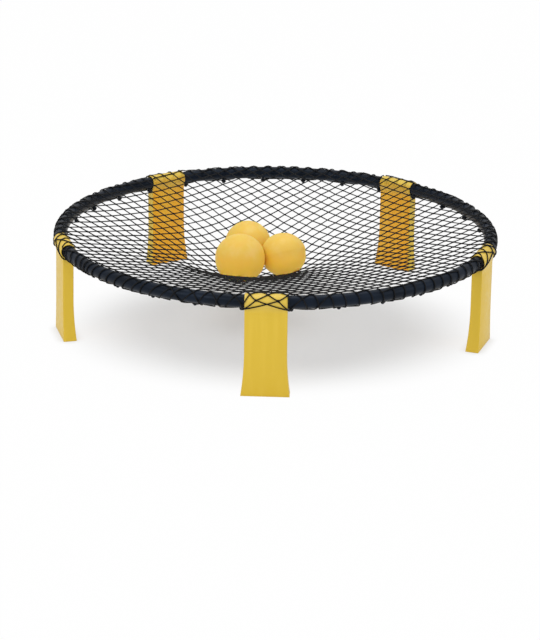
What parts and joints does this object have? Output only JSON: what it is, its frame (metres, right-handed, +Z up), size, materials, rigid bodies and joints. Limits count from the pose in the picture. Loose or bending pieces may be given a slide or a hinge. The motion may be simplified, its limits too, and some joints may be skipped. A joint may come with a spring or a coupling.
{
  "type": "roundnet set",
  "caption": "Round net game: a knotted net sags inside a tube rim on folding plastic legs and holds small inflated balls",
  "frame": {"origin": "on the floor under the middle of the rim", "axes": "+Z up, with the front leg towards -Y and the rim's plane level"},
  "size_m": [0.9043, 0.9073, 0.2074],
  "materials": {
    "rim": "moulded plastic tube, dark navy, satin",
    "leg": "blow-moulded plastic, yellow, satin",
    "net": "braided polyester strands, black, knotted",
    "ball": "inflated rubber skin, warm yellow, fine matt",
    "valve": "soft rubber plug, warm yellow"
  },
  "bodies": {
    "rim_and_net": {"rim_tube_1": "rim", "rim_tube_2": "rim", "rim_tube_3": "rim", "rim_tube_4": "rim", "rim_tube_5": "rim", "net": "net"},
    "leg_1": {"leg_1": "leg"},
    "leg_2": {"leg_2": "leg"},
    "leg_3": {"leg_3": "leg"},
    "leg_4": {"leg_4": "leg"},
    "leg_5": {"leg_5": "leg"},
    "ball_front": {"ball_front": "ball", "ball_front_valve": "valve"},
    "ball_rear": {"ball_rear": "ball", "ball_rear_valve": "valve"},
    "ball_right": {"ball_right": "ball", "ball_right_valve": "valve"}
  },
  "joints": [
    {"name": "leg_1_fold", "type": "hinge", "parent": "rim_and_net", "child": "leg_1", "pos_m": [0, -0.43658, 0.1865], "axis": [1, 0, 0], "range_deg": [0, 70]},
    {"name": "leg_2_fold", "type": "hinge", "parent": "rim_and_net", "child": "leg_2", "pos_m": [0.41522, -0.13491, 0.1865], "axis": [0.309, 0.9511, 0], "range_deg": [0, 70]},
    {"name": "leg_3_fold", "type": "hinge", "parent": "rim_and_net", "child": "leg_3", "pos_m": [0.25662, 0.3532, 0.1865], "axis": [-0.809, 0.5878, 0], "range_deg": [0, 70]},
    {"name": "leg_4_fold", "type": "hinge", "parent": "rim_and_net", "child": "leg_4", "pos_m": [-0.25662, 0.3532, 0.1865], "axis": [-0.809, -0.5878, 0], "range_deg": [0, 70]},
    {"name": "leg_5_fold", "type": "hinge", "parent": "rim_and_net", "child": "leg_5", "pos_m": [-0.41522, -0.13491, 0.1865], "axis": [0.309, -0.9511, 0], "range_deg": [0, 70]},
    {"name": "ball_front_lift", "type": "slide", "parent": "rim_and_net", "child": "ball_front", "axis": [0, 0, 1], "range_m": [0, 0.25]},
    {"name": "ball_rear_lift", "type": "slide", "parent": "rim_and_net", "child": "ball_rear", "axis": [0, 0, 1], "range_m": [0, 0.25]},
    {"name": "ball_right_lift", "type": "slide", "parent": "rim_and_net", "child": "ball_right", "axis": [0, 0, 1], "range_m": [0, 0.25]}
  ]
}
